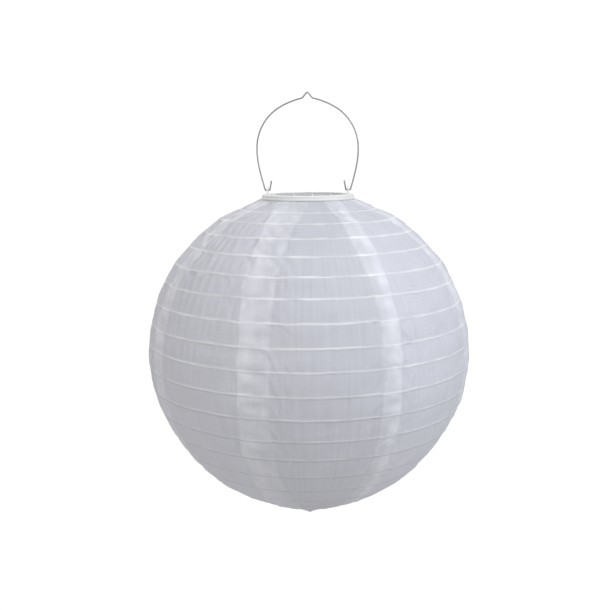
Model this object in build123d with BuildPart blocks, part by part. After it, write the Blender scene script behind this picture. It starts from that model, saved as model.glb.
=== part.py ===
from build123d import *
import math
import os

os.makedirs("parts", exist_ok=True)

# ---------------------------------------------------------------------------
# Accordion lantern, 300 mm globe, hanging from its wire handle.
# Frame: origin at the hanging point, under the V at the top of the handle.
# +Z up, handle in the XZ plane.  Heights below are given from the globe's
# centre and shifted down by DROP.
# ---------------------------------------------------------------------------
DROP = 240.1            # hanging point above the globe's centre
HOOP_WIRE_R = 0.6       # spring-steel hoop wire, 1.2 mm
CLOTH_T = 0.25          # cloth strip thickness (real cloth is thinner)
RIDGE = 0.75            # cloth ridge outside the centre of the hoop wire
STRIP_GAP = 0.6         # cloth strips stop this far from each ridge line

HANDLE_R = 0.7          # handle wire, 1.4 mm
EAR_X = 37.25           # ear centre from the axis
EAR_T = 1.6
EAR_W = 6.0
PIVOT_Z = 152.4         # handle pivot
PIVOT_R = 1.0           # hole in each ear

COLLAR_Z0, COLLAR_Z1, COLLAR_Z2 = 144.3, 146.3, 148.8
FLANGE_R, RIM_R = 43.1, 42.4
SEAT_R, BORE_R, LEDGE_Z = 36.2, 33.4, 145.8
CAP_SEAT = 147.0        # cap heights below are written for a seat at this height

LEG_Y, LEG_R = 37.4, 0.8   # expander legs
SLOT_W = 2.2

CAP_R = 35.9
BARREL_R = 32.6
WALL = 1.6
BASE_Z0, BASE_Z1 = 120.0, 137.55
FLOOR_T = 1.8

# Ridge of the cloth over each hoop: height from the globe's centre, radius.
RIDGES = [
    (135.4, 62.7), (127.5, 81.3), (116.3, 95.7), (103.1, 109.4), (88.1, 123.0),
    (71.7, 132.6), (53.1, 141.0), (33.8, 146.3), (15.0, 149.3), (-5.0, 149.9),
    (-24.8, 147.3), (-44.4, 141.5), (-62.7, 133.4), (-81.3, 122.0),
    (-98.3, 108.2), (-112.8, 94.0), (-124.5, 77.5), (-133.6, 59.7),
    (-142.0, 41.6),
]
TOP_EDGE = (144.2, 43.0)     # where the cloth leaves the collar
TIP_Z = -161.5               # tip of the closed bottom


def unit(a, b):
    d = math.hypot(b[0] - a[0], b[1] - a[1])
    return ((b[0] - a[0]) / d, (b[1] - a[1]) / d)


def z(v):
    return v - DROP


def zc(v):
    return z(v - CAP_SEAT + LEDGE_Z)


# Profile points as (radius, height).
line = [(TOP_EDGE[1], TOP_EDGE[0])] + [(r, h) for h, r in RIDGES] + [(0.0, TIP_Z)]

# Hoop centres, set in from each ridge along the profile's own normal.
hoop_centres = []
for k in range(1, len(line) - 1):
    ax, az = unit(line[k - 1], line[k])
    bx, bz = unit(line[k], line[k + 1])
    tx, tz = ax + bx, az + bz
    n = math.hypot(tx, tz)
    # outward normal of a profile that runs downwards
    nx, nz = -tz / n, tx / n
    hoop_centres.append((line[k][0] - RIDGE * nx, line[k][1] - RIDGE * nz))

# --------------------------------------------------------------------- hoops
for k, (hr, hz) in enumerate(hoop_centres, start=1):
    with BuildPart() as hoop:
        with BuildSketch(Plane.XZ):
            with Locations((hr, z(hz))):
                Circle(HOOP_WIRE_R)
        revolve(axis=Axis.Z)
    hoop.part.label = "hoop_%02d" % k
    export_step(hoop.part, "parts/hoop_%02d.step" % k)

# ------------------------------------------------------- cloth, strip by strip
for k in range(1, 20):
    a, b = line[k - 1], line[k]
    ux, uz = unit(a, b)
    nx, nz = -uz, ux                       # outward
    end = (b[0] - ux * STRIP_GAP, b[1] - uz * STRIP_GAP)
    if k == 1:
        # the top hem lies flat between the collar and the clamp ring
        profile = [
            (41.9, z(TOP_EDGE[0])), (43.0, z(TOP_EDGE[0])),
            (end[0], z(end[1])),
            (end[0] - nx * CLOTH_T, z(end[1] - nz * CLOTH_T)),
            (42.9, z(TOP_EDGE[0] - 0.28)), (41.9, z(TOP_EDGE[0] - 0.28)),
        ]
    else:
        start = (a[0] + ux * STRIP_GAP, a[1] + uz * STRIP_GAP)
        profile = [
            (start[0], z(start[1])), (end[0], z(end[1])),
            (end[0] - nx * CLOTH_T, z(end[1] - nz * CLOTH_T)),
            (start[0] - nx * CLOTH_T, z(start[1] - nz * CLOTH_T)),
        ]
    with BuildPart() as band:
        with BuildSketch(Plane.XZ):
            with BuildLine():
                Polyline(*profile, close=True)
            make_face()
        revolve(axis=Axis.Z)
    band.part.label = "band_%02d" % k
    export_step(band.part, "parts/band_%02d.step" % k)

# closed bottom: a shallow cone with a blunt tip
ux, uz = unit(line[19], line[20])
nx, nz = -uz, ux
start = (line[19][0] + ux * STRIP_GAP, line[19][1] + uz * STRIP_GAP)
up = CLOTH_T / abs(nz)
with BuildPart() as bottom_cloth:
    with BuildSketch(Plane.XZ):
        with BuildLine():
            Polyline(
                (0, z(TIP_Z)), (1.6, z(TIP_Z)), (5.0, z(TIP_Z + 1.9)),
                (start[0], z(start[1])),
                (start[0] - nx * CLOTH_T, z(start[1] - nz * CLOTH_T)),
                (4.9, z(TIP_Z + 1.9 + up)), (1.5, z(TIP_Z + up)),
                (0, z(TIP_Z + up)), close=True,
            )
        make_face()
    revolve(axis=Axis.Z)
bottom_cloth.part.label = "bottom_cloth"
export_step(bottom_cloth.part, "parts/bottom_cloth.step")

# -------------------------------------------------------------------- collar
with BuildPart() as collar:
    with BuildSketch(Plane.XZ):
        with BuildLine():
            Polyline(
                (BORE_R, z(COLLAR_Z0)), (FLANGE_R - 0.4, z(COLLAR_Z0)),
                (FLANGE_R, z(COLLAR_Z0 + 0.4)), (FLANGE_R, z(COLLAR_Z1 - 0.5)),
                (FLANGE_R - 0.5, z(COLLAR_Z1)), (RIM_R, z(COLLAR_Z1)),
                (RIM_R, z(COLLAR_Z2 - 0.6)), (RIM_R - 0.6, z(COLLAR_Z2)),
                (SEAT_R + 0.3, z(COLLAR_Z2)), (SEAT_R, z(COLLAR_Z2 - 0.3)),
                (SEAT_R, z(LEDGE_Z)), (BORE_R, z(LEDGE_Z)), close=True,
            )
        make_face()
    revolve(axis=Axis.Z)
    # two upright ears with rounded tops
    with BuildSketch(Plane.YZ.offset(EAR_X - EAR_T / 2)):
        with BuildLine():
            Polyline((-EAR_W / 2, z(COLLAR_Z2 - 1)), (EAR_W / 2, z(COLLAR_Z2 - 1)),
                     (EAR_W / 2, z(153.2)))
            ThreePointArc((EAR_W / 2, z(153.2)), (0, z(155.9)), (-EAR_W / 2, z(153.2)))
            Line((-EAR_W / 2, z(153.2)), (-EAR_W / 2, z(COLLAR_Z2 - 1)))
        make_face()
    extrude(amount=EAR_T)
    with BuildSketch(Plane.YZ.offset(-EAR_X - EAR_T / 2)):
        with BuildLine():
            Polyline((-EAR_W / 2, z(COLLAR_Z2 - 1)), (EAR_W / 2, z(COLLAR_Z2 - 1)),
                     (EAR_W / 2, z(153.2)))
            ThreePointArc((EAR_W / 2, z(153.2)), (0, z(155.9)), (-EAR_W / 2, z(153.2)))
            Line((-EAR_W / 2, z(153.2)), (-EAR_W / 2, z(COLLAR_Z2 - 1)))
        make_face()
    extrude(amount=EAR_T)
    # pivot holes through both ears
    with BuildSketch(Plane.YZ.offset(-EAR_X - 3)):
        with Locations((0, z(PIVOT_Z))):
            Circle(PIVOT_R)
    extrude(amount=2 * EAR_X + 6, mode=Mode.SUBTRACT)
    # slots for the expander legs, open to the bore, and pockets for its hooks
    with BuildSketch(Plane.XY.offset(z(COLLAR_Z0 - 1))):
        with Locations((0, 35.6), (0, -35.6)):
            Rectangle(SLOT_W, 6.0)
    extrude(amount=12, mode=Mode.SUBTRACT)
    with BuildSketch(Plane.XY.offset(z(LEDGE_Z + 0.95))):
        with Locations((0, 38.6), (0, -38.6)):
            Rectangle(SLOT_W, 4.8)
    extrude(amount=6, mode=Mode.SUBTRACT)
    # blind holes for the clamp ring's pegs
    with BuildSketch(Plane.XY.offset(z(COLLAR_Z0))):
        with PolarLocations(40.2, 6, 30):
            Circle(1.05)
    extrude(amount=1.9, mode=Mode.SUBTRACT)
collar.part.label = "collar"
export_step(collar.part, "parts/collar.step")

with BuildPart() as clamp_ring:
    with BuildSketch(Plane.XZ):
        with BuildLine():
            Polyline((38.9, z(141.4)), (40.6, z(141.4)), (41.6, z(142.4)),
                     (41.6, z(144.1)), (38.9, z(144.1)), close=True)
        make_face()
    revolve(axis=Axis.Z)
    with BuildSketch(Plane.XY.offset(z(144.0))):
        with PolarLocations(40.2, 6, 30):
            Circle(1.0)
    extrude(amount=2.0)
    # lip that traps the hem
    with BuildSketch(Plane.XZ):
        with BuildLine():
            Polyline((41.2, z(142.5)), (42.3, z(142.9)), (42.3, z(143.7)),
                     (41.2, z(143.7)), close=True)
        make_face()
    revolve(axis=Axis.Z)
clamp_ring.part.label = "cloth_clamp_ring"
export_step(clamp_ring.part, "parts/cloth_clamp_ring.step")

# -------------------------------------------------------------------- handle
side = [
    (4.62, 235.7), (11.2, 234.0), (20.4, 230.4), (29.4, 225.2), (36.6, 218.4),
    (42.4, 209.6), (45.9, 199.4), (46.7, 188.5), (45.6, 177.4), (43.2, 166.4),
    (40.6, 157.0), (39.3, PIVOT_Z), (35.2, PIVOT_Z), (33.6, 161.0),
]
APEX = (0.0, 241.3)
route = [(-x, z(h)) for x, h in reversed(side)] + [(0.0, z(APEX[1]))] + \
        [(x, z(h)) for x, h in side]


def corner_radii(points):
    out = []
    for i in range(1, len(points) - 1):
        p, q, s = points[i - 1], points[i], points[i + 1]
        a = math.hypot(q[0] - p[0], q[1] - p[1])
        b = math.hypot(s[0] - q[0], s[1] - q[1])
        u, v = unit(p, q), unit(q, s)
        turn = math.acos(max(-1, min(1, u[0] * v[0] + u[1] * v[1])))
        out.append(0.45 * min(a, b) / math.tan(turn / 2))
    return out


radii = corner_radii(route)
tight = {len(side): 1.2, 1: 1.1, 2: 1.1, len(route) - 2: 1.1, len(route) - 3: 1.1,
         len(side) - 1: 2.0, len(side) + 1: 2.0}
for i, r in tight.items():
    radii[i - 1] = r
with BuildPart() as bail:
    with BuildLine(Plane.XZ) as bail_path:
        FilletPolyline(*route, radius=radii)
    with BuildSketch(Plane(origin=bail_path.line @ 0, z_dir=bail_path.line % 0)):
        Circle(HANDLE_R)
    sweep(path=bail_path.line)
bail.part.label = "bail"
export_step(bail.part, "parts/bail.step")
print("handle wire length", round(sum(e.length for e in bail_path.line.edges()), 1),
      "volume over section", round(bail.part.volume / (math.pi * HANDLE_R ** 2), 1),
      "top", bail.part.bounding_box().max.Z)

# ------------------------------------------------------------------ expander
leg = [(-40.4, LEDGE_Z + 1.95), (-LEG_Y, LEDGE_Z + 1.95), (-LEG_Y, -139.5), (-6.5, -156.3),
       (6.5, -156.3), (LEG_Y, -139.5), (LEG_Y, LEDGE_Z + 1.95), (40.4, LEDGE_Z + 1.95)]
with BuildPart() as expander_wire:
    with BuildLine(Plane.YZ) as leg_path:
        FilletPolyline(*[(y, z(h)) for y, h in leg], radius=[1.2, 6, 5, 5, 6, 1.2])
    with BuildSketch(Plane(origin=leg_path.line @ 0, z_dir=leg_path.line % 0)):
        Circle(LEG_R)
    sweep(path=leg_path.line)
expander_wire.part.label = "expander_wire"
export_step(expander_wire.part, "parts/expander_wire.step")

with BuildPart() as foot:
    with BuildSketch(Plane.XZ):
        with BuildLine():
            Polyline((0, z(-161.0)), (1.3, z(-161.0)), (4.3, z(-158.95)),
                     (4.3, z(-154.2)), (3.5, z(-153.4)), (0, z(-153.4)), close=True)
        make_face()
    revolve(axis=Axis.Z)
    with BuildSketch(Plane.XZ.offset(-6)):
        with Locations((0, z(-156.3))):
            Circle(LEG_R + 0.04)
    extrude(amount=12, mode=Mode.SUBTRACT)
foot.part.label = "expander_foot"
export_step(foot.part, "parts/expander_foot.step")

# ----------------------------------------------------------------- solar cap
NOTCH = [(36.4, 0), (-36.4, 0)]
POSTS = [(26.3, 0), (-26.3, 0), (0, 26.3), (0, -26.3)]
CELL_X = -13.5
LENS = (8.0, 0.0)

with BuildPart() as cap_cover:
    with BuildSketch(Plane.XZ):
        with BuildLine():
            Polyline(
                (0, zc(147.05)), (BARREL_R - WALL, zc(147.05)),
                (BARREL_R - WALL, zc(138.05)), (BARREL_R, zc(138.05)),
                (BARREL_R, zc(147.05)), (CAP_R, zc(147.05)), (CAP_R, zc(149.1)),
                (CAP_R - 0.4, zc(149.5)), (34.9, zc(149.5)), (34.9, zc(148.5)),
                (0, zc(148.5)), close=True,
            )
        make_face()
    revolve(axis=Axis.Z)
    with BuildSketch(Plane.XY.offset(zc(134.6))):
        with Locations(*POSTS):
            Circle(3.0)
    extrude(amount=12.5)
    with BuildSketch(Plane.XY.offset(zc(134.6))):
        with Locations(*POSTS):
            Circle(1.3)
    extrude(amount=10.4, mode=Mode.SUBTRACT)
    # half-round finger notches, which also clear the handle's turned-up ends
    with BuildSketch(Plane.XY.offset(zc(146))):
        with Locations(*NOTCH):
            Circle(5.2)
    extrude(amount=5, mode=Mode.SUBTRACT)
    # rim closed again around each notch
    with BuildSketch(Plane.XY.offset(zc(147.05))):
        with Locations(*NOTCH):
            Circle(6.3)
            Circle(5.2, mode=Mode.SUBTRACT)
        Circle(CAP_R, mode=Mode.INTERSECT)
    extrude(amount=2.45)
cap_cover.part.label = "cap_cover"
export_step(cap_cover.part, "parts/cap_cover.step")

with BuildPart() as solar_panel:
    with BuildSketch(Plane.XY.offset(zc(148.55))):
        Circle(34.7)
        with Locations(*NOTCH):
            Circle(6.5, mode=Mode.SUBTRACT)
    extrude(amount=0.6)
solar_panel.part.label = "solar_panel"
export_step(solar_panel.part, "parts/solar_panel.step")

with BuildPart() as seal:
    with BuildSketch(Plane.XY.offset(zc(137.6))):
        Circle(BARREL_R - 0.2)
        Circle(BARREL_R - WALL + 0.1, mode=Mode.SUBTRACT)
    extrude(amount=0.4)
seal.part.label = "cap_seal"
export_step(seal.part, "parts/cap_seal.step")

RAIL_X = 6.9
with BuildPart() as base:
    with BuildSketch(Plane.XY.offset(zc(BASE_Z0))):
        Circle(BARREL_R)
    extrude(amount=BASE_Z1 - BASE_Z0)
    fillet(base.edges().group_by(Axis.Z)[0], 1.2)
    with BuildSketch(Plane.XY.offset(zc(BASE_Z1 - 0.1))):
        Circle(BARREL_R - WALL - 0.2)
    extrude(amount=2.6)
    with BuildSketch(Plane.XY.offset(zc(BASE_Z0 + FLOOR_T))):
        Circle(BARREL_R - WALL - 1.6)
    extrude(amount=30, mode=Mode.SUBTRACT)
    # screw posts
    with BuildSketch(Plane.XY.offset(zc(BASE_Z0 + FLOOR_T - 0.2))):
        with Locations(*POSTS):
            Circle(3.2)
        Circle(BARREL_R - WALL - 1.4, mode=Mode.INTERSECT)
    extrude(amount=133.2 - (BASE_Z0 + FLOOR_T - 0.2))
    with BuildSketch(Plane.XY.offset(zc(BASE_Z0 - 1))):
        with Locations(*POSTS):
            Circle(1.35)
    extrude(amount=30, mode=Mode.SUBTRACT)
    with BuildSketch(Plane.XY.offset(zc(BASE_Z0 - 1))):
        with Locations(*POSTS):
            Circle(2.6)
    extrude(amount=3.2, mode=Mode.SUBTRACT)
    # cell opening, lens opening, switch slot
    with BuildSketch(Plane.XY.offset(zc(BASE_Z0 - 1))):
        with Locations((CELL_X, 0)):
            Rectangle(12.4, 45.2)
        with Locations(LENS):
            Circle(8.9)
        with Locations((13.0, 19.0)):
            Rectangle(7.4, 3.6)
    extrude(amount=4, mode=Mode.SUBTRACT)
    # ribs that hold the cell contacts
    with BuildSketch(Plane.XY.offset(zc(BASE_Z0 + FLOOR_T - 0.1))):
        with Locations((CELL_X, 24.6), (CELL_X, -24.6)):
            Rectangle(6.6, 1.0)
    extrude(amount=9)
    # rails and lips for the battery door
    with BuildSketch(Plane.XY.offset(zc(BASE_Z0 - 3.1))):
        with Locations((CELL_X - RAIL_X - 0.85, 0), (CELL_X + RAIL_X + 0.85, 0)):
            Rectangle(1.3, 44.0)
    extrude(amount=3.3)
    with BuildSketch(Plane.XY.offset(zc(BASE_Z0 - 3.1))):
        with Locations((CELL_X - RAIL_X + 0.3, 0), (CELL_X + RAIL_X - 0.3, 0)):
            Rectangle(1.4, 44.0)
    extrude(amount=1.1)
base.part.label = "base_housing"
export_step(base.part, "parts/base_housing.step")

with BuildPart() as battery_door:
    with BuildSketch(Plane.XY.offset(zc(118.15))):
        with Locations((CELL_X, 0)):
            RectangleRounded(2 * RAIL_X - 0.2, 49.0, 1.0)
    extrude(amount=1.6)
    # finger ridges
    with BuildSketch(Plane.XY.offset(zc(117.35))):
        with Locations((CELL_X, -4), (CELL_X, -1.5), (CELL_X, 1), (CELL_X, 3.5)):
            Rectangle(8.0, 0.9)
    extrude(amount=0.9)
battery_door.part.label = "battery_door"
export_step(battery_door.part, "parts/battery_door.step")

with BuildPart() as board:
    with BuildSketch(Plane.XY.offset(zc(133.25))):
        Circle(28.6)
        with Locations(*POSTS):
            Circle(1.5, mode=Mode.SUBTRACT)
    extrude(amount=1.2)
board.part.label = "circuit_board"
export_step(board.part, "parts/circuit_board.step")

with BuildPart() as led:
    with BuildSketch(Plane.XY.offset(zc(119.6))):
        with Locations(LENS):
            Circle(2.5)
    extrude(amount=6.4)
    fillet(led.edges().group_by(Axis.Z)[0], 2.2)
    with BuildSketch(Plane.XY.offset(zc(125.0))):
        with Locations(LENS):
            Circle(2.9)
    extrude(amount=1.0)
    with BuildSketch(Plane.XY.offset(zc(125.9))):
        with Locations((LENS[0] - 1.27, LENS[1]), (LENS[0] + 1.27, LENS[1])):
            Rectangle(0.5, 0.5)
    extrude(amount=7.3)
led.part.label = "led"
export_step(led.part, "parts/led.step")

with BuildPart() as lens:
    with BuildSketch(Plane(origin=(LENS[0], LENS[1], 0), x_dir=(1, 0, 0), z_dir=(0, -1, 0))):
        with BuildLine():
            Polyline(
                (0, zc(114.2)), (0, zc(113.0)), (2.4, zc(113.3)), (4.7, zc(114.3)),
                (6.6, zc(116.1)), (7.9, zc(118.5)), (8.5, zc(121.0)), (8.6, zc(121.9)),
                (10.2, zc(121.9)), (10.2, zc(123.2)), (7.4, zc(123.2)),
                (7.4, zc(121.9)), (7.2, zc(120.6)), (6.7, zc(118.8)),
                (5.6, zc(116.9)), (4.0, zc(115.4)), (2.1, zc(114.5)), close=True,
            )
        make_face()
    revolve(axis=Axis((LENS[0], LENS[1], 0), (0, 0, 1)))
lens.part.label = "led_lens"
export_step(lens.part, "parts/led_lens.step")

with BuildPart() as cell:
    with BuildSketch(Plane.XZ.offset(-21.4)):
        with Locations((CELL_X, zc(127.6))):
            Circle(5.25)
    extrude(amount=43.6)
    fillet(cell.edges().filter_by(GeomType.CIRCLE), 0.4)
    with BuildSketch(Plane.XZ.offset(-22.3)):
        with Locations((CELL_X, zc(127.6))):
            Circle(1.9)
    extrude(amount=1.2)
cell.part.label = "battery_cell"
export_step(cell.part, "parts/battery_cell.step")

with BuildPart() as contacts:
    with BuildSketch(Plane.XY.offset(zc(122.6))):
        with Locations((CELL_X, 23.6), (CELL_X, -23.6)):
            Rectangle(5.6, 0.5)
    extrude(amount=10.4)
    with BuildSketch(Plane.XZ.offset(-23.4)):
        with Locations((CELL_X, zc(127.6))):
            Circle(1.5)
    extrude(amount=1.0)
    with BuildSketch(Plane.XZ.offset(22.35)):
        with Locations((CELL_X, zc(127.6))):
            Circle(2.4)
    extrude(amount=1.1)
contacts.part.label = "battery_contacts"
export_step(contacts.part, "parts/battery_contacts.step")

with BuildPart() as screws:
    with BuildSketch(Plane.XY.offset(zc(120.5))):
        with Locations(*POSTS):
            Circle(2.3)
    extrude(amount=1.6)
    with BuildSketch(Plane.XY.offset(zc(122.0))):
        with Locations(*POSTS):
            Circle(1.25)
    extrude(amount=20.0)
    with BuildSketch(Plane.XY.offset(zc(120.5))):
        with Locations(*POSTS):
            Rectangle(2.8, 0.5)
            Rectangle(0.5, 2.8)
    extrude(amount=0.8, mode=Mode.SUBTRACT)
screws.part.label = "case_screws"
export_step(screws.part, "parts/case_screws.step")

with BuildPart() as switch_body:
    with BuildSketch(Plane.XY.offset(zc(125.0))):
        with Locations((13.0, 19.0)):
            Rectangle(9.0, 5.0)
    extrude(amount=8.2)
    with BuildSketch(Plane.XY.offset(zc(125.0))):
        with Locations((13.0, 19.0)):
            Rectangle(6.6, 2.6)
    extrude(amount=2.2, mode=Mode.SUBTRACT)
switch_body.part.label = "switch_body"
export_step(switch_body.part, "parts/switch_body.step")

with BuildPart() as slider:
    with BuildSketch(Plane.XY.offset(zc(118.6))):
        with Locations((11.5, 19.0)):
            Rectangle(2.8, 2.2)
    extrude(amount=8.2)
slider.part.label = "switch_slider"
export_step(slider.part, "parts/switch_slider.step")
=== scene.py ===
import math

import bpy
import numpy as np
from mathutils import Matrix, Vector


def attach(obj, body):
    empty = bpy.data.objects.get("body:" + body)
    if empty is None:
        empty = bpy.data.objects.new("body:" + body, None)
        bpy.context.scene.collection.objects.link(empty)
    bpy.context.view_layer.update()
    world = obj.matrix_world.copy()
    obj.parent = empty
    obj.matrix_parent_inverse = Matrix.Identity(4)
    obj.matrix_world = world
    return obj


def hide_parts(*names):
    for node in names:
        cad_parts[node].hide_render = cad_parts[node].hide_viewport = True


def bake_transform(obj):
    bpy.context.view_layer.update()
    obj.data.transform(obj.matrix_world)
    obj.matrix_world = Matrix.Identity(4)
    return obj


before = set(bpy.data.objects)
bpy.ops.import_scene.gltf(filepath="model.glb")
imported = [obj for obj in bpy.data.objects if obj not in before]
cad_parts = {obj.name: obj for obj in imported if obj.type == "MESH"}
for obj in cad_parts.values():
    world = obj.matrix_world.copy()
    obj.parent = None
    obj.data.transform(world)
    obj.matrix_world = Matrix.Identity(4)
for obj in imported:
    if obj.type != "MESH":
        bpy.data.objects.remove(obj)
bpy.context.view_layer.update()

# ---------------------------------------------------------------- dimensions
# Metres, in the frame of the CAD: origin at the hanging point, +Z up.
DROP = 0.2401                       # the globe's centre is this far down
RIDGES = [                          # cloth ridge over each hoop: height, radius (mm)
    (135.4, 62.7), (127.5, 81.3), (116.3, 95.7), (103.1, 109.4), (88.1, 123.0),
    (71.7, 132.6), (53.1, 141.0), (33.8, 146.3), (15.0, 149.3), (-5.0, 149.9),
    (-24.8, 147.3), (-44.4, 141.5), (-62.7, 133.4), (-81.3, 122.0),
    (-98.3, 108.2), (-112.8, 94.0), (-124.5, 77.5), (-133.6, 59.7),
    (-142.0, 41.6),
]
TOP_EDGE = (144.2, 43.0)
TIP_Z = -161.5
# Sewn overlaps of the gores: azimuth (0 towards the viewer, +90 to the right)
# and width in mm.  Eight gores, so one every 45 degrees or so.
SEAMS = [(-18.2, 29.0), (26.9, 18.5), (71.5, 24.0), (117.0, 21.0),
         (162.0, 26.0), (207.0, 20.0), (252.0, 27.0), (297.3, 22.0)]
NU = 900                            # points round the globe


rng = np.random.default_rng(7)


# ------------------------------------------------------------------- shaders
def material(name):
    m = bpy.data.materials.new(name)
    m.use_nodes = True
    t = m.node_tree
    for n in list(t.nodes):
        t.nodes.remove(n)
    out = t.nodes.new("ShaderNodeOutputMaterial")
    return m, t, out


def node(t, kind, **props):
    n = t.nodes.new(kind)
    for k, v in props.items():
        setattr(n, k, v)
    return n


def maths(t, op, a, b=None, clamp=False):
    n = node(t, "ShaderNodeMath", operation=op, use_clamp=clamp)
    for i, v in enumerate((a, b)):
        if v is None:
            continue
        if isinstance(v, (int, float)):
            n.inputs[i].default_value = v
        else:
            t.links.new(v, n.inputs[i])
    return n.outputs[0]


def mix_rgb(t, fac, a, b):
    n = node(t, "ShaderNodeMix", data_type="RGBA")
    for i, v in ((0, fac), (6, a), (7, b)):
        if isinstance(v, (int, float)):
            n.inputs[i].default_value = v
        elif isinstance(v, tuple):
            n.inputs[i].default_value = v
        else:
            t.links.new(v, n.inputs[i])
    return n.outputs[2]


def cloth_material():
    """White woven nylon: thin, slightly translucent, silky, brighter where it is doubled."""
    m, t, out = material("woven_nylon")
    uv = node(t, "ShaderNodeUVMap", uv_map="weave")
    sep = node(t, "ShaderNodeSeparateXYZ")
    t.links.new(uv.outputs[0], sep.inputs[0])
    lap = node(t, "ShaderNodeAttribute", attribute_name="lap")
    # painted highlight on the ridge over each wire, read from a mesh attribute
    ridge_highlight = node(t, "ShaderNodeAttribute", attribute_name="ridge_highlight")
    edge = node(t, "ShaderNodeAttribute", attribute_name="edge")
    # painted shadow: a thin dark line just under each wire, read from a mesh attribute
    dark = node(t, "ShaderNodeAttribute", attribute_name="dark")
    gore = node(t, "ShaderNodeAttribute", attribute_name="gore")

    # warp and weft threads, 0.45 mm apart, with slubs
    co = node(t, "ShaderNodeTexCoord")
    slub = node(t, "ShaderNodeTexNoise", noise_dimensions="3D")
    slub.inputs["Scale"].default_value = 260
    slub.inputs["Detail"].default_value = 3
    t.links.new(co.outputs["Object"], slub.inputs["Vector"])
    warp = maths(t, "SINE", maths(t, "MULTIPLY", sep.outputs[0], 2 * math.pi / 0.00045))
    weft = maths(t, "SINE", maths(t, "MULTIPLY", sep.outputs[1], 2 * math.pi / 0.00045))
    weave = maths(t, "MULTIPLY", warp, weft)
    # broader uneven weft lines, about 1.6 mm apart, wandering with the cloth
    wander = node(t, "ShaderNodeTexNoise", noise_dimensions="2D")
    wander.inputs["Scale"].default_value = 22
    wander.inputs["Detail"].default_value = 2
    t.links.new(uv.outputs[0], wander.inputs["Vector"])
    bend = maths(t, "MULTIPLY", wander.outputs[0], 26.0)
    lines = maths(t, "SINE", maths(t, "ADD", maths(t, "MULTIPLY", sep.outputs[1], 2 * math.pi / 0.0034), bend))
    fade = node(t, "ShaderNodeTexNoise", noise_dimensions="2D")
    fade.inputs["Scale"].default_value = 14
    fade.inputs["Detail"].default_value = 1
    t.links.new(uv.outputs[0], fade.inputs["Vector"])
    silk = maths(t, "MULTIPLY", lines, maths(t, "MULTIPLY", maths(t, "SUBTRACT", fade.outputs[0], 0.35), 2.2, True))

    # blotches of slightly different whiteness
    blot = node(t, "ShaderNodeTexNoise", noise_dimensions="3D")
    blot.inputs["Scale"].default_value = 34
    blot.inputs["Detail"].default_value = 4
    t.links.new(co.outputs["Object"], blot.inputs["Vector"])
    base = mix_rgb(t, blot.outputs[0], (0.695, 0.70, 0.745, 1), (0.775, 0.78, 0.83, 1))
    # thin and thick threads: fine streaks down each gore
    squeeze = node(t, "ShaderNodeCombineXYZ")
    t.links.new(maths(t, "MULTIPLY", sep.outputs[0], 420.0), squeeze.inputs[0])
    t.links.new(maths(t, "MULTIPLY", sep.outputs[1], 16.0), squeeze.inputs[1])
    down = node(t, "ShaderNodeTexNoise", noise_dimensions="2D")
    down.inputs["Scale"].default_value = 1.0
    down.inputs["Detail"].default_value = 3
    t.links.new(squeeze.outputs[0], down.inputs["Vector"])
    streak = maths(t, "ADD", maths(t, "MULTIPLY", silk, 0.022),
                   maths(t, "MULTIPLY", maths(t, "SUBTRACT", down.outputs[0], 0.5), 0.13))
    shade = maths(t, "ADD", 1.0, streak)
    tint = node(t, "ShaderNodeVectorMath", operation="SCALE")
    t.links.new(base, tint.inputs[0])
    t.links.new(shade, tint.inputs["Scale"])
    # doubled cloth is whiter, and the ridge over each wire gets a painted highlight
    patch = node(t, "ShaderNodeTexNoise", noise_dimensions="3D")
    patch.inputs["Scale"].default_value = 46
    patch.inputs["Detail"].default_value = 2
    t.links.new(co.outputs["Object"], patch.inputs["Vector"])
    patched = maths(t, "ADD", maths(t, "MULTIPLY", patch.outputs[0], 1.2), 0.16)
    doubled = mix_rgb(t, maths(t, "MULTIPLY", lap.outputs["Fac"], patched, True), tint.outputs[0], (0.84, 0.845, 0.885, 1))
    toned = node(t, "ShaderNodeVectorMath", operation="SCALE")
    t.links.new(doubled, toned.inputs[0])
    t.links.new(gore.outputs["Fac"], toned.inputs["Scale"])
    doubled = toned.outputs[0]
    # painted highlight: the ridge over each wire is made whiter, mostly high up where the light falls
    with_ridge_highlight = mix_rgb(t, maths(t, "MULTIPLY", ridge_highlight.outputs["Fac"], 1.0, True), doubled, (0.97, 0.975, 0.99, 1))
    # painted shadow: darkens the cloth just under each wire, where the ridge shades it
    shaded = mix_rgb(t, maths(t, "MULTIPLY", dark.outputs["Fac"], 0.55), with_ridge_highlight, (0.42, 0.42, 0.45, 1))
    stitched = mix_rgb(t, maths(t, "MULTIPLY", edge.outputs["Fac"], 0.16), shaded, (0.50, 0.51, 0.55, 1))

    bump = node(t, "ShaderNodeBump")
    bump.inputs["Strength"].default_value = 0.55
    bump.inputs["Distance"].default_value = 0.0002
    height = maths(t, "ADD", maths(t, "MULTIPLY", weave, 0.35),
                   maths(t, "ADD", maths(t, "MULTIPLY", silk, 0.35),
                         maths(t, "ADD", maths(t, "MULTIPLY", slub.outputs[0], 0.7),
                               maths(t, "MULTIPLY", down.outputs[0], 0.8))))
    t.links.new(height, bump.inputs["Height"])

    p = node(t, "ShaderNodeBsdfPrincipled")
    t.links.new(stitched, p.inputs["Base Color"])
    p.inputs["Roughness"].default_value = 0.52
    p.inputs["Specular IOR Level"].default_value = 0.35
    p.inputs["Sheen Weight"].default_value = 0.12
    p.inputs["Sheen Roughness"].default_value = 0.4
    t.links.new(bump.outputs[0], p.inputs["Normal"])
    tr = node(t, "ShaderNodeBsdfTranslucent")
    t.links.new(stitched, tr.inputs["Color"])
    t.links.new(bump.outputs[0], tr.inputs["Normal"])
    mix = node(t, "ShaderNodeMixShader")
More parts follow.
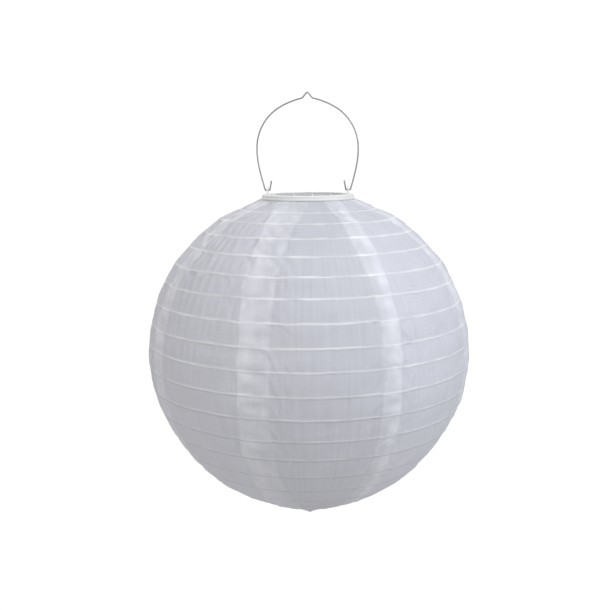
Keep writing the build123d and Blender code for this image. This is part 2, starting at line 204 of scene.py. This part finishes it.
    # doubled cloth lets less light through
    t.links.new(maths(t, "SUBTRACT", 0.26, maths(t, "MULTIPLY", lap.outputs["Fac"], 0.12)), mix.inputs[0])
    t.links.new(p.outputs[0], mix.inputs[1])
    t.links.new(tr.outputs[0], mix.inputs[2])
    t.links.new(mix.outputs[0], out.inputs[0])
    return m


def plastic(name, colour, rough=0.38, grain=900, bump_d=0.00005, vary=0.03):
    m, t, out = material(name)
    co = node(t, "ShaderNodeTexCoord")
    n1 = node(t, "ShaderNodeTexNoise")
    n1.inputs["Scale"].default_value = grain
    n1.inputs["Detail"].default_value = 2
    n2 = node(t, "ShaderNodeTexNoise")
    n2.inputs["Scale"].default_value = 45
    n2.inputs["Detail"].default_value = 3
    for n in (n1, n2):
        t.links.new(co.outputs["Object"], n.inputs["Vector"])
    low = tuple(c * (1 - vary) for c in colour) + (1,)
    high = tuple(min(1, c * (1 + vary)) for c in colour) + (1,)
    col = mix_rgb(t, n2.outputs[0], low, high)
    p = node(t, "ShaderNodeBsdfPrincipled")
    t.links.new(col, p.inputs["Base Color"])
    t.links.new(maths(t, "ADD", rough - 0.06, maths(t, "MULTIPLY", n2.outputs[0], 0.12)), p.inputs["Roughness"])
    p.inputs["Subsurface Weight"].default_value = 0.0
    b = node(t, "ShaderNodeBump")
    b.inputs["Strength"].default_value = 0.4
    b.inputs["Distance"].default_value = bump_d
    t.links.new(n1.outputs[0], b.inputs["Height"])
    t.links.new(b.outputs[0], p.inputs["Normal"])
    t.links.new(p.outputs[0], out.inputs[0])
    return m


def metal(name, colour, rough=0.3, vary=0.12):
    m, t, out = material(name)
    co = node(t, "ShaderNodeTexCoord")
    n = node(t, "ShaderNodeTexNoise")
    n.inputs["Scale"].default_value = 320
    n.inputs["Detail"].default_value = 4
    t.links.new(co.outputs["Object"], n.inputs["Vector"])
    low = tuple(c * (1 - vary) for c in colour) + (1,)
    high = tuple(min(1, c * (1 + vary)) for c in colour) + (1,)
    p = node(t, "ShaderNodeBsdfPrincipled")
    p.inputs["Metallic"].default_value = 1
    t.links.new(mix_rgb(t, n.outputs[0], low, high), p.inputs["Base Color"])
    t.links.new(maths(t, "ADD", rough - 0.08, maths(t, "MULTIPLY", n.outputs[0], 0.18)), p.inputs["Roughness"])
    b = node(t, "ShaderNodeBump")
    b.inputs["Strength"].default_value = 0.25
    b.inputs["Distance"].default_value = 0.00003
    t.links.new(n.outputs[0], b.inputs["Height"])
    t.links.new(b.outputs[0], p.inputs["Normal"])
    t.links.new(p.outputs[0], out.inputs[0])
    return m


def solar_material():
    """Dark cells under clear resin, with fine silver fingers."""
    m, t, out = material("solar_cells")
    co = node(t, "ShaderNodeTexCoord")
    sep = node(t, "ShaderNodeSeparateXYZ")
    t.links.new(co.outputs["Object"], sep.inputs[0])
    fingers = maths(t, "GREATER_THAN", maths(t, "SINE", maths(t, "MULTIPLY", sep.outputs[1], 2 * math.pi / 0.0022)), 0.96)
    bars = maths(t, "GREATER_THAN", maths(t, "SINE", maths(t, "MULTIPLY", sep.outputs[0], 2 * math.pi / 0.017)), 0.985)
    n = node(t, "ShaderNodeTexNoise")
    n.inputs["Scale"].default_value = 120
    t.links.new(co.outputs["Object"], n.inputs["Vector"])
    dark = mix_rgb(t, n.outputs[0], (0.012, 0.015, 0.035, 1), (0.03, 0.035, 0.07, 1))
    lit = mix_rgb(t, maths(t, "MAXIMUM", fingers, bars), dark, (0.35, 0.36, 0.38, 1))
    p = node(t, "ShaderNodeBsdfPrincipled")
    t.links.new(lit, p.inputs["Base Color"])
    p.inputs["Roughness"].default_value = 0.45
    p.inputs["Specular IOR Level"].default_value = 0.35
    p.inputs["Coat Weight"].default_value = 0.38
    p.inputs["Coat Roughness"].default_value = 0.16
    t.links.new(p.outputs[0], out.inputs[0])
    return m


CLOTH = cloth_material()
WHITE = plastic("collar_plastic_white", (0.71, 0.715, 0.70), 0.42)
CAP_WHITE = plastic("cap_plastic_white", (0.79, 0.79, 0.77), 0.38)
FOOT = plastic("foot_plastic_white", (0.75, 0.75, 0.73), 0.5)
BLACK = plastic("switch_plastic_black", (0.02, 0.02, 0.02), 0.5)
RUBBER = plastic("seal_rubber_black", (0.015, 0.015, 0.015), 0.8)
BOARD = plastic("board_green", (0.02, 0.12, 0.05), 0.45)
LENS_M = plastic("lens_frosted", (0.85, 0.85, 0.82), 0.3)
SLEEVE = plastic("cell_sleeve_green", (0.06, 0.22, 0.12), 0.35)
LED_M = plastic("led_resin_amber", (0.85, 0.75, 0.40), 0.2)
WIRE = metal("handle_steel", (0.36, 0.365, 0.37), 0.42)
HOOP = metal("hoop_steel", (0.62, 0.62, 0.62), 0.35)
EXPANDER = metal("expander_steel", (0.55, 0.55, 0.55), 0.3)
CONTACT = metal("contact_nickel", (0.70, 0.68, 0.62), 0.25)
SCREW = metal("screw_zinc", (0.50, 0.50, 0.49), 0.35)
SOLAR = solar_material()

by_node = {
    "bail": WIRE, "collar": WHITE, "cloth_clamp_ring": WHITE, "cap_cover": CAP_WHITE,
    "base_housing": CAP_WHITE, "battery_door": CAP_WHITE, "solar_panel": SOLAR,
    "cap_seal": RUBBER, "circuit_board": BOARD, "led": LED_M, "led_lens": LENS_M,
    "battery_cell": SLEEVE, "battery_contacts": CONTACT, "case_screws": SCREW,
    "switch_body": BLACK, "switch_slider": BLACK, "expander_wire": EXPANDER,
    "expander_foot": FOOT, "bottom_cloth": CLOTH,
}
for name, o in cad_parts.items():
    m = by_node.get(name) or (HOOP if name.startswith("hoop_") else CLOTH)
    o.data.materials.clear()
    o.data.materials.append(m)
    smooth = name.startswith(("hoop_", "bail", "expander_wire"))
    for poly in o.data.polygons:
        poly.use_smooth = smooth or poly.use_smooth

# --------------------------------------------------------------------- cloth
phi = np.arange(NU) * 2 * math.pi / NU          # 0 = towards the viewer (-Y)
ux, uy = np.sin(phi), -np.cos(phi)


def lattice(freq, seed, periodic):
    g = np.random.default_rng(seed).random((periodic, freq)) * 2 - 1
    return g


def smooth_noise(u, v, nu, nv, seed):
    """Value noise, periodic in u over 0..1, on a grid of nu by nv cells over v 0..1."""
    g = np.random.default_rng(seed).random((nu, nv + 2)) * 2 - 1
    a, b = (u % 1) * nu, np.clip(v, 0, 1) * nv
    i, j = np.floor(a).astype(int), np.minimum(np.floor(b).astype(int), nv)
    fa, fb = a - i, b - j
    fa, fb = fa * fa * (3 - 2 * fa), fb * fb * (3 - 2 * fb)
    i0, i1 = i % nu, (i + 1) % nu
    return ((g[i0, j] * (1 - fa) + g[i1, j] * fa) * (1 - fb)
            + (g[i0, j + 1] * (1 - fa) + g[i1, j + 1] * fa) * fb)


# each gore takes the light a little differently, by the lie of its weave
GORE = np.ones(NU)
for n, tone in enumerate((0.905, 1.0, 0.97, 0.955, 0.99, 0.96, 0.985, 0.965)):
    a, b = math.radians(SEAMS[n][0]), math.radians(SEAMS[(n + 1) % 8][0])
    inside = ((phi - a) % (2 * math.pi)) < ((b - a) % (2 * math.pi))
    GORE[inside] = tone
for _ in range(6):
    GORE = (np.roll(GORE, 1) + GORE + np.roll(GORE, -1)) / 3

line = [TOP_EDGE] + RIDGES + [(TIP_Z, 0.0)]      # (height, radius)
arc = [0.0]
for a, b in zip(line, line[1:]):
    arc.append(arc[-1] + math.hypot(b[0] - a[0], b[1] - a[1]))


def normal_of(i):
    """Outward normal (radius, height) of the profile at ridge i of line."""
    t = np.zeros(2)
    for a, b in ((i - 1, i), (i, i + 1)):
        if a >= 0 and b < len(line):
            d = np.array([line[b][1] - line[a][1], line[b][0] - line[a][0]])
            t += d / np.linalg.norm(d)
    t /= np.linalg.norm(t)
    return np.array([-t[1], t[0]])


def streaky(phis, n, seed):
    """Random values of about -1 to 1 round the globe, in n smooth steps."""
    return smooth_noise(phis / (2 * math.pi), phis * 0, n, 1, seed)


JAG = np.random.default_rng(55).uniform(-1, 1, (len(SEAMS), 2, 3, 21))


def seam_edge(n, side, depth):
    """How far an overlap's edge strays, in mm: caught unevenly on each wire, bowed between them."""
    i = int(np.clip(np.searchsorted(arc, depth + 1e-6, side="right") - 1, 0, 19))
    f = min(max((depth - arc[i]) / (arc[i + 1] - arc[i]), 0), 1)
    a, b, c = JAG[n, side]
    return 0.8 * (a[i] * (1 - f) + a[i + 1] * f) + 1.0 * math.sin(math.pi * f) * b[i] + 0.55 * c[i]


def lap_at(phis, radius, depth):
    """How doubled the cloth is (0..1), and how near an overlap's edge (0..1), at each azimuth."""
    lap, edge = np.zeros_like(phis), np.zeros_like(phis)
    for n, (az, width) in enumerate(SEAMS):
        wob = 1.0 * math.sin(depth * 0.045 + n * 1.7)
        off = (phis - math.radians(az) + math.pi) % (2 * math.pi) - math.pi
        half = min(width / 2, radius * math.radians(18))
        d = off * radius - wob
        inside = np.minimum(d + half + seam_edge(n, 0, depth), half + seam_edge(n, 1, depth) - d)
        lap = np.maximum(lap, np.clip(inside / 0.9 + 0.5, 0, 1))
        edge = np.maximum(edge, np.exp(-(inside / 0.9) ** 2))
    return lap, edge


def ridge_shift(k):
    """How far ridge k strays along the cloth, in mm, round the globe: it steps a little at each overlap."""
    if k < 1 or k > 19:
        return np.zeros(NU)
    radius = line[k][1]
    r = np.random.default_rng(4000 + k)
    out = 0.22 * streaky(phi, 36, 4100 + k)
    for n, (az, width) in enumerate(SEAMS):
        off = (phi - math.radians(az) + math.pi) % (2 * math.pi) - math.pi
        half = min(width / 2, radius * math.radians(18))
        x = off * radius
        inside = 1 / (1 + np.exp(-(half - np.abs(x)) / 0.7))
        out += r.uniform(-0.55, 0.55) * inside
        out += r.uniform(-0.5, 0.5) * np.exp(-((np.abs(x) - half) / 2.2) ** 2)
    return out


def tangent_of(i):
    n = normal_of(i)
    return np.array([n[1], -n[0]])


def seam_nearness(phis, radius, reach):
    best = np.zeros_like(phis)
    for az, width in SEAMS:
        off = (phis - math.radians(az) + math.pi) % (2 * math.pi) - math.pi
        d = np.abs(np.abs(off * radius) - width / 2)
        best = np.maximum(best, np.exp(-(d / reach) ** 2))
    return best


ROW_MM = [0, 0.35, 0.7, 1.05, 1.5, 2.2, 3.2]


def strip_rows(length):
    """Distances down the strip, close together near both ridges."""
    ends = [d for d in ROW_MM if d < length * 0.35]
    mid = np.linspace(ends[-1], length - ends[-1], 9)[1:-1]
    return np.array(ends + list(mid) + [length - d for d in reversed(ends)])


def bead_height(d):
    """The cloth stands out over the wire: a rounded ridge, 1.5 mm wide."""
    return 0.14 * np.exp(-(d / 0.75) ** 2)


def make_mesh(name, co, rows, lap, ridge_highlight, edge, dark, vv):
    """A tube of quads: co is rows x NU x 3."""
    me = bpy.data.meshes.new(name)
    idx = np.arange(rows * NU).reshape(rows, NU)
    a, b = idx[:-1], idx[1:]
    quads = np.stack([a, b, np.roll(b, -1, 1), np.roll(a, -1, 1)], axis=2).reshape(-1, 4)
    me.vertices.add(rows * NU)
    me.vertices.foreach_set("co", co.reshape(-1).astype(np.float32))
    me.loops.add(quads.size)
    me.loops.foreach_set("vertex_index", quads.reshape(-1).astype(np.int32))
    me.polygons.add(len(quads))
    me.polygons.foreach_set("loop_start", np.arange(0, quads.size, 4, dtype=np.int32))
    me.polygons.foreach_set("use_smooth", np.ones(len(quads), bool))
    me.update(calc_edges=True)
    gore = np.broadcast_to(GORE[None, :], (rows, NU))
    # stores the doubling, the painted highlight over each wire, the overlap edges, the painted shadow under each wire
    # and the gore tone
    for key, val in (("lap", lap), ("ridge_highlight", ridge_highlight), ("edge", edge), ("dark", dark), ("gore", gore)):
        at = me.attributes.new(key, "FLOAT", "POINT")
        at.data.foreach_set("value", val.reshape(-1).astype(np.float32))
    uvl = me.uv_layers.new(name="weave")
    # metric weave coordinates: across along the hoop, down along the profile
    u = np.broadcast_to(phi[None, :], (rows, NU)) * 0.12
    v = np.broadcast_to(vv[:, None], (rows, NU)) / 1000
    col = quads % NU
    row = quads // NU
    uq = u[row, col]
    wrapped = (col == 0) & (np.roll(col, 1, 1) == NU - 1) | (col == 0) & (np.roll(col, -1, 1) == NU - 1)
    uq = np.where(wrapped, 2 * math.pi * 0.12, uq)
    uvs = np.stack([uq, v[row, col]], axis=2)
    uvl.data.foreach_set("uv", uvs.reshape(-1).astype(np.float32))
    me.validate()
    o = bpy.data.objects.new(name, me)
    bpy.context.scene.collection.objects.link(o)
    o.data.materials.append(CLOTH)
    return o


def wrinkles(k, d, length, radius):
    """Displacement in mm (rows x NU) along the strip's normal, for strip k."""
    u = phi / (2 * math.pi)
    v = (d / length)[:, None]
    U = np.broadcast_to(u[None, :], (len(d), NU))
    V = np.broadcast_to(v, U.shape)
    env = np.sin(np.pi * V)
    circ = 2 * math.pi * radius
    out = np.zeros(U.shape)
    # slightly full cloth stands out a little between two rings
    out += 0.32 * env * min(1, length / 18)
    # broad soft undulation
    out += 0.50 * env * smooth_noise(U, V, max(8, int(circ / 46)), 1, 100 + k)
    out += 0.38 * env * smooth_noise(U + 0.03 * V, V, max(12, int(circ / 17)), 2, 200 + k)
    # fine vertical puckers that start at the wires and fade
    near = np.exp(-((V * length) / 4.5) ** 2) + np.exp(-(((1 - V) * length) / 4.5) ** 2)
    out += 0.22 * near * (1 - np.exp(-(np.minimum(V, 1 - V) * length / 0.9) ** 2)) * smooth_noise(U, V * 0, max(24, int(circ / 5.5)), 1, 300 + k)
    # pull lines, mostly beside the overlaps and on the upper left
    r = np.random.default_rng(1000 + k)
    seam = seam_nearness(phi, radius, 16.0)
    left = np.exp(-((np.degrees((phi + math.pi) % (2 * math.pi) - math.pi) + 58) / 30) ** 2)
    weight = 0.12 + 1.0 * seam + 0.8 * left * (1 if k <= 9 else 0.35)
    cdf = np.cumsum(weight) / weight.sum()
    count = int(circ / 9)
    for _ in range(count):
        c = phi[np.searchsorted(cdf, r.random())]
        lean = r.normal(0, 0.22)
        wide = r.uniform(1.2, 3.2)
        amp = r.uniform(0.15, 0.50) * (1 if r.random() < 0.5 else -1)
        top = r.random() < 0.5
        reach = r.uniform(0.35, 1.0)
        off = (U * 2 * math.pi - c + math.pi) % (2 * math.pi) - math.pi
        x = off * radius - lean * (V * length)
        along = V if top else 1 - V
        body = np.clip(1 - along / reach, 0, 1)
        out += amp * np.exp(-(x / wide) ** 2) * body * np.sin(np.pi * np.clip(along * 1.4 + 0.06, 0, 1)) ** 0.5
    # slanting folds where an overlap is caught on the wires
    for n, (az, width) in enumerate(SEAMS):
        for side in (-1, 1):
            for _ in range(2):
                c = math.radians(az) + side * (width / 2 + r.uniform(-1, 7)) / radius
                lean = side * r.uniform(0.2, 0.9)
                off = (U * 2 * math.pi - c + math.pi) % (2 * math.pi) - math.pi
                x = off * radius - lean * (V - 0.5) * length
                out += r.uniform(0.12, 0.50) * (-1 if r.random() < 0.5 else 1) * np.exp(-(x / r.uniform(2.2, 4.5)) ** 2) * env
    # broad upright folds, strongest on the upper part of some gores
    gores = np.zeros(NU)
    for centre, spread, w in ((-55, 22, 1.0), (-12, 10, 0.25), (60, 14, 0.45), (100, 20, 0.7), (165, 22, 0.8), (-135, 22, 0.8)):
        off = (np.degrees(phi) - centre + 180) % 360 - 180
        gores = np.maximum(gores, w * np.exp(-(off / spread) ** 2))
    high = 1 / (1 + math.exp((k - 9.5) / 1.3))
    phase = 2 * math.pi * U * circ / 9.5 + 2.4 * smooth_noise(U, V * 0, max(20, int(circ / 24)), 1, 5000 + k // 2)
    out += (0.10 + 0.36 * high) * gores[None, :] * env * np.sin(phase + 0.8 * V)
    # tucks: soft pinches just under a wire, and a few larger ones at the left
    for n in range(22 if k <= 9 else 13):
        large = n < (3 if k <= 9 else 1)
        draw = r.random()
        if large:
            c = math.radians(r.uniform(-84, -48))
        elif draw < 0.6:
            az, width = SEAMS[int(r.integers(len(SEAMS)))]
            c = math.radians(az) + (r.choice((-1, 1)) * width / 2 + r.normal(0, 3.0)) / radius
        else:
            c = phi[np.searchsorted(cdf, r.random())]
        off = (U * 2 * math.pi - c + math.pi) % (2 * math.pi) - math.pi
        lean = r.normal(0, 0.6)
        x = off * radius - lean * V * length
        wide, deep = (r.uniform(3.0, 5.5), r.uniform(5.0, 8.0)) if large else (r.uniform(1.7, 3.6), r.uniform(3.5, 8.0))
        amp = r.uniform(0.9, 1.5) if large else r.uniform(0.3, 0.8)
        y = V * length if large or r.random() < 0.7 else (1 - V) * length
        along = np.exp(-((y - 2.4) / deep) ** 2) * (1 - np.exp(-(y / 1.6) ** 2)) * np.sqrt(np.clip(env, 0, 1))
        out -= amp * np.exp(-(x / wide) ** 2) * along
        out += 0.5 * amp * np.exp(-((x - 2.0 * wide) / wide) ** 2) * along
    # doubled cloth bulges between the wires
    lapped = np.zeros(NU)
    for n, (az, width) in enumerate(SEAMS):
        off = (phi - math.radians(az) + math.pi) % (2 * math.pi) - math.pi
        lapped = np.maximum(lapped, np.clip(1.1 - np.abs(off * radius) / (width / 2), 0, 1))
    out += lapped[None, :] * env * (0.30 + 0.50 * np.sin(V * 2 * math.pi + 2.4 * k))
    return out


def build_strip(k):
    """Strip k runs from ridge k-1 (or the collar) down to ridge k."""
    (h0, r0), (h1, r1) = line[k - 1], line[k]
    length = math.hypot(h1 - h0, r1 - r0)
    d = strip_rows(length)
    rows = len(d)
    t = d / length
    tx, tz = (r1 - r0) / length, (h1 - h0) / length
    n_mid = np.array([-tz, tx])
    n0 = normal_of(k - 1) if k > 1 else n_mid
    n1 = normal_of(k)
    radius = (r0 + r1) / 2
    disp = wrinkles(k, d, length, radius)
    # keep both ridges exactly where the neighbouring strip has them
    hold = 1 - np.exp(-(np.minimum(d, length - d) / 0.8) ** 2)
    disp *= hold[:, None]
    bead0 = bead_height(d) if k > 1 else np.zeros(rows)
    bead1 = bead_height(length - d)
    rr = (r0 + (r1 - r0) * t)
    hh = (h0 + (h1 - h0) * t)
    shift0, shift1 = ridge_shift(k - 1), ridge_shift(k)
    tan0 = tangent_of(k - 1) if k > 1 else np.zeros(2)
    tan1 = tangent_of(k)
    lap, edge, ridge_highlight = np.zeros((rows, NU)), np.zeros((rows, NU)), np.zeros((rows, NU))
    dark = np.zeros((rows, NU))
    U = np.broadcast_to(phi[None, :] / (2 * math.pi), (rows, NU))
    V = np.broadcast_to(t[:, None], (rows, NU))
    # doubled cloth is unevenly bright, and less so low down
    patch = (0.62 + 0.45 * smooth_noise(U, V, 90, 3, 700 + k)) * (0.55 + 0.45 / (1 + math.exp(-(h0 + 20) / 28)))
    patch = np.clip(patch, 0, 1)
    co = np.zeros((rows, NU, 3))
    for i in range(rows):
        l, e = lap_at(phi, rr[i], arc[k - 1] + d[i])
        edge[i] = e
        # painted highlight on each wire's ridge, stronger high up where the light falls, and a painted shadow line just
        # under each wire, stronger low down
        lit = 0.25 + 0.75 / (1 + math.exp(-(h0 + 15) / 22))
        ridge_highlight[i] = lit * max(np.exp(-(d[i] / 0.95) ** 2) if k > 1 else 0, np.exp(-((length - d[i]) / 0.95) ** 2))
        ridge_highlight[i] *= 0.75 + 0.5 * streaky(phi, 60, 900 + k)
        shadow = 1.0 / (1 + math.exp((h0 - 10) / 30))
        dark[i] = shadow * (np.exp(-((d[i] - 1.3) / 0.6) ** 2) if k > 1 else 0)
        lap[i] = l * patch[i]
        n = n_mid * (1 - np.exp(-(d[i] / 1.2) ** 2) - np.exp(-((length - d[i]) / 1.2) ** 2)) \
            + n0 * np.exp(-(d[i] / 1.2) ** 2) + n1 * np.exp(-((length - d[i]) / 1.2) ** 2)
        n = n / np.linalg.norm(n)
        s = bead0[i] + bead1[i] + disp[i] + 0.16 * l * hold[i]
        a, b = shift0 * (1 - t[i]), shift1 * t[i]
        R = rr[i] + n[0] * s + tan0[0] * a + tan1[0] * b
        H = hh[i] + n[1] * s + tan0[1] * a + tan1[1] * b
        co[i, :, 0], co[i, :, 1], co[i, :, 2] = R * ux / 1000, R * uy / 1000, H / 1000 - DROP
    o = make_mesh("cloth_strip_%02d" % k, co, rows, lap, ridge_highlight, edge, dark, arc[k - 1] + d)
    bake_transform(o)
    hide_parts("band_%02d" % k)
    return o


def build_bottom():
    """The closed bottom: a shallow cone drawn to a small tip, with puckers running to it."""
    (h0, r0), (h1, _) = line[19], line[20]
    length = math.hypot(h1 - h0, r0)
    d = np.concatenate([[0, 0.35, 0.7, 1.05, 1.5, 2.2, 3.2], np.linspace(5, length - 4.6, 20),
                        length - np.array([3.4, 2.6, 1.9, 1.3, 0.7])])
    rows = len(d)
    t = d / length
    n_mid = np.array([h0 - h1, -r0]) / length          # outward: out and down
    n_mid = np.array([-(h1 - h0), -r0]) / length
    n0 = normal_of(19)
    tan0 = tangent_of(19)
    rr = r0 * (1 - t)
    hh = h0 + (h1 - h0) * t
    r = np.random.default_rng(77)
    disp = np.zeros((rows, NU))
    env = np.sin(np.pi * np.clip(t, 0, 1)) ** 0.7
    dark = np.zeros((rows, NU))
    for _ in range(46):
        c, amp, w = r.uniform(0, 2 * math.pi), r.uniform(-0.35, 0.45), r.uniform(0.03, 0.09)
        off = (phi - c + math.pi) % (2 * math.pi) - math.pi
        disp += amp * env[:, None] * np.exp(-(off[None, :] / w) ** 2)
    disp -= 0.6 * np.sin(np.pi * t)[:, None]
    lap, edge, ridge_highlight = np.zeros((rows, NU)), np.zeros((rows, NU)), np.zeros((rows, NU))
    co = np.zeros((rows, NU, 3))
    for i in range(rows):
        l, e = lap_at(phi, max(rr[i], 3.0), arc[19] + d[i])
        lap[i], edge[i] = 0.3 * l, e
        # painted highlight on the ridge of the last wire, and a painted shadow line just under it
        ridge_highlight[i] = 0.2 * np.exp(-(d[i] / 0.8) ** 2)
        dark[i] = np.exp(-((d[i] - 1.3) / 0.6) ** 2)
        w0 = np.exp(-(d[i] / 1.2) ** 2)
        n = n_mid * (1 - w0) + n0 * w0
        n = n / np.linalg.norm(n)
        s = bead_height(d[i]) + disp[i] * (1 - w0) + 0.16 * l * min(1, rr[i] / 20)
        # the foot inside pushes the tip out a little
        blunt = -0.30 * math.exp(-((rr[i] - 1.4) / 1.1) ** 2)
        a = ridge_shift(19) * math.exp(-(d[i] / 9) ** 2)
        R, H = rr[i] + n[0] * s + tan0[0] * a, hh[i] + n[1] * s + blunt + tan0[1] * a
        co[i, :, 0], co[i, :, 1], co[i, :, 2] = R * ux / 1000, R * uy / 1000, H / 1000 - DROP
    o = make_mesh("cloth_bottom", co, rows, lap, ridge_highlight, edge, dark, arc[19] + d)
    # close the tip
    me = o.data
    import bmesh
    bm = bmesh.new()
    bm.from_mesh(me)
    bm.verts.ensure_lookup_table()
    ring = [bm.verts[(rows - 1) * NU + j] for j in range(NU)]
    cz = float(np.mean([v.co.z for v in ring])) - 0.0002
    centre = bm.verts.new((0, 0, cz))
    for key in ("lap", "ridge_highlight", "edge", "dark", "gore"):
        layer = bm.verts.layers.float.get(key)
        centre[layer] = {"lap": 0.3, "gore": 0.97}.get(key, 0.0)
    for j in range(NU):
        f = bm.faces.new((ring[j], centre, ring[(j + 1) % NU]))
        f.smooth = True
    bm.to_mesh(me)
    bm.free()
    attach(o, "ring_19")
    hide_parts("bottom_cloth")
    return o


for k in range(1, 20):
    build_strip(k)
build_bottom()

# --------------------------------------------------------------- floor, light
def stage_plane(name, size, z):
    me = bpy.data.meshes.new(name)
    s = size / 2
    me.from_pydata([(-s, -s, z), (s, -s, z), (s, s, z), (-s, s, z)], [], [(0, 1, 2, 3)])
    o = bpy.data.objects.new(name, me)
    bpy.context.scene.collection.objects.link(o)
    m, t, out = material(name + "_pale")
    b = node(t, "ShaderNodeBsdfDiffuse")
    b.inputs["Color"].default_value = (0.86, 0.855, 0.84, 1)
    e = node(t, "ShaderNodeEmission")
    e.inputs["Strength"].default_value = 1.05
    lp = node(t, "ShaderNodeLightPath")
    mx = node(t, "ShaderNodeMixShader")
    t.links.new(lp.outputs["Is Camera Ray"], mx.inputs[0])
    t.links.new(b.outputs[0], mx.inputs[1])
    t.links.new(e.outputs[0], mx.inputs[2])
    t.links.new(mx.outputs[0], out.inputs[0])
    o.data.materials.append(m)
    return o


stage_plane("floor", 30.0, -1.60)

world = bpy.data.worlds.new("studio")
bpy.context.scene.world = world
world.use_nodes = True
wt = world.node_tree
for n in list(wt.nodes):
    wt.nodes.remove(n)
wo = wt.nodes.new("ShaderNodeOutputWorld")
bg = wt.nodes.new("ShaderNodeBackground")
bg.inputs[0].default_value = (1, 1, 1, 1)
bg.inputs[1].default_value = 0.625
bg_seen = wt.nodes.new("ShaderNodeBackground")
bg_seen.inputs[0].default_value = (1, 1, 1, 1)
bg_seen.inputs[1].default_value = 1.05
lp = wt.nodes.new("ShaderNodeLightPath")
mx = wt.nodes.new("ShaderNodeMixShader")
wt.links.new(lp.outputs["Is Camera Ray"], mx.inputs[0])
wt.links.new(bg.outputs[0], mx.inputs[1])
wt.links.new(bg_seen.outputs[0], mx.inputs[2])
wt.links.new(mx.outputs[0], wo.inputs[0])


def area_light(name, at, look, size, power, colour=(1, 1, 1)):
    l = bpy.data.lights.new(name, "AREA")
    l.shape = "RECTANGLE"
    l.size, l.size_y = size
    l.energy = power
    l.color = colour
    o = bpy.data.objects.new(name, l)
    o.location = at
    o.rotation_euler = (Vector(look) - Vector(at)).to_track_quat("-Z", "Y").to_euler()
    bpy.context.scene.collection.objects.link(o)
    return o


C = (0, 0, -DROP)
area_light("key", (1.15, -0.95, 0.60), C, (0.9, 0.9), 13.5, (0.90, 0.95, 1.07))
area_light("top", (0.20, -0.30, 1.15), C, (1.2, 1.2), 5.0, (0.97, 0.985, 1.0))
area_light("fill", (-1.10, -1.15, 0.25), C, (1.2, 1.2), 4.2, (1.0, 0.975, 0.965))
area_light("back", (-0.35, 1.50, 0.45), C, (1.4, 1.4), 4.5, (0.99, 0.99, 1.0))

# -------------------------------------------------------------------- camera
cam_data = bpy.data.cameras.new("camera")
cam_data.sensor_width = 36
cam_data.lens = 54.5
cam_data.clip_start = 0.01
cam = bpy.data.objects.new("camera", cam_data)
cam.location = (-0.0034, -0.86, -0.0486)
cam.rotation_euler = (Matrix.Rotation(math.radians(90 - 9.70), 3, "X")
                      @ Matrix.Rotation(math.radians(-0.40), 3, "Z")).to_euler()
bpy.context.scene.collection.objects.link(cam)
bpy.context.scene.camera = cam
bpy.context.scene.view_settings.view_transform = "Standard"
